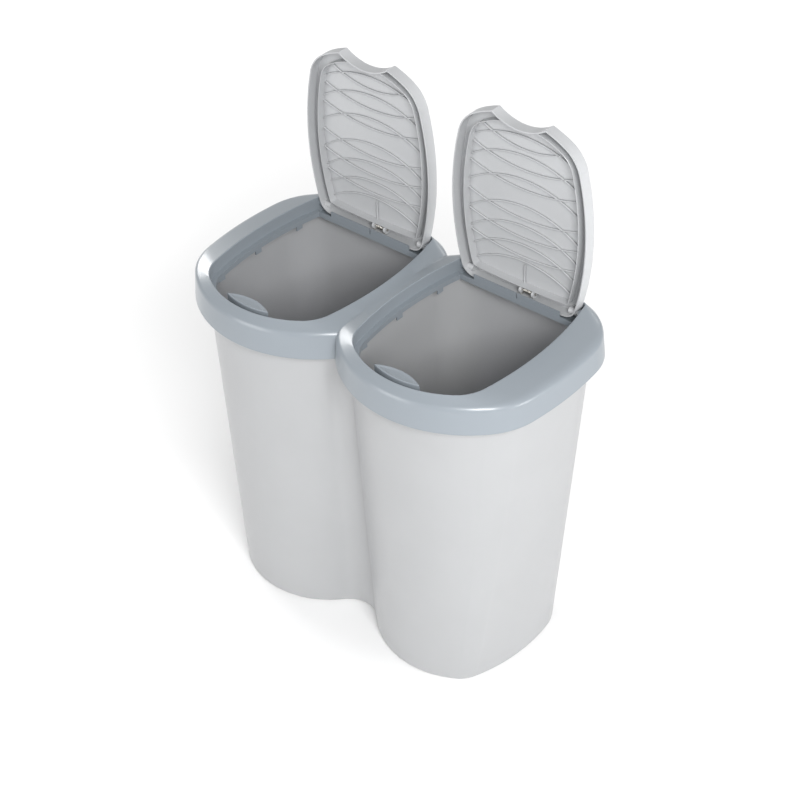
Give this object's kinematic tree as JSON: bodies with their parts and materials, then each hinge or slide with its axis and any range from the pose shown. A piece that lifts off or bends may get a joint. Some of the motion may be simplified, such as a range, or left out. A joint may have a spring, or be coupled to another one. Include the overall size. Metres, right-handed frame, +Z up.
{
  "type": "double recycling bin",
  "caption": "Free-standing double recycling bin: a two-pocket tub, a lift-off rim frame and two sprung flap lids, each opened by a push button.",
  "frame": {"origin": "on the floor, in the middle of the part's footprint", "axes": "+Z up, -Y towards the front with the push buttons, +X to the right as seen from the front"},
  "size_m": [0.567, 0.318, 0.7488],
  "materials": {
    "tub_plastic": "fine satin",
    "frame_plastic": "satin",
    "lid_plastic": "satin, slightly frosted",
    "spring_steel": "drawn wire"
  },
  "bodies": {
    "tub": {"tub": "tub_plastic"},
    "frame": {"rim_frame": "frame_plastic", "left_lid_spring": "spring_steel", "right_lid_spring": "spring_steel", "left_button_spring": "spring_steel", "right_button_spring": "spring_steel"},
    "left_lid": {"left_lid": "lid_plastic", "left_spring_pin": "spring_steel"},
    "right_lid": {"right_lid": "lid_plastic", "right_spring_pin": "spring_steel"},
    "left_button": {"left_push_button": "frame_plastic"},
    "right_button": {"right_push_button": "frame_plastic"}
  },
  "joints": [
    {"name": "frame_lift", "type": "slide", "parent": "tub", "child": "frame", "axis": [0, 0, 1], "range_m": [0, 0.09]},
    {"name": "left_lid_hinge", "type": "hinge", "parent": "frame", "child": "left_lid", "pos_m": [-0.126, 0.1215, 0.495], "axis": [1, 0, 0], "range_deg": [0, 90], "stiffness_Nm_per_rad": 0.19, "springref_deg": -28.65},
    {"name": "right_lid_hinge", "type": "hinge", "parent": "frame", "child": "right_lid", "pos_m": [0.126, 0.1215, 0.495], "axis": [1, 0, 0], "range_deg": [0, 90], "stiffness_Nm_per_rad": 0.19, "springref_deg": -28.65},
    {"name": "left_button_press", "type": "slide", "parent": "frame", "child": "left_button", "axis": [0, 0, -1], "range_m": [0, 0.0035], "stiffness_N_per_m": 300, "springref_m": -0.003, "deforming": ["left_button_spring"]},
    {"name": "right_button_press", "type": "slide", "parent": "frame", "child": "right_button", "axis": [0, 0, -1], "range_m": [0, 0.0035], "stiffness_N_per_m": 300, "springref_m": -0.003, "deforming": ["right_button_spring"]}
  ]
}
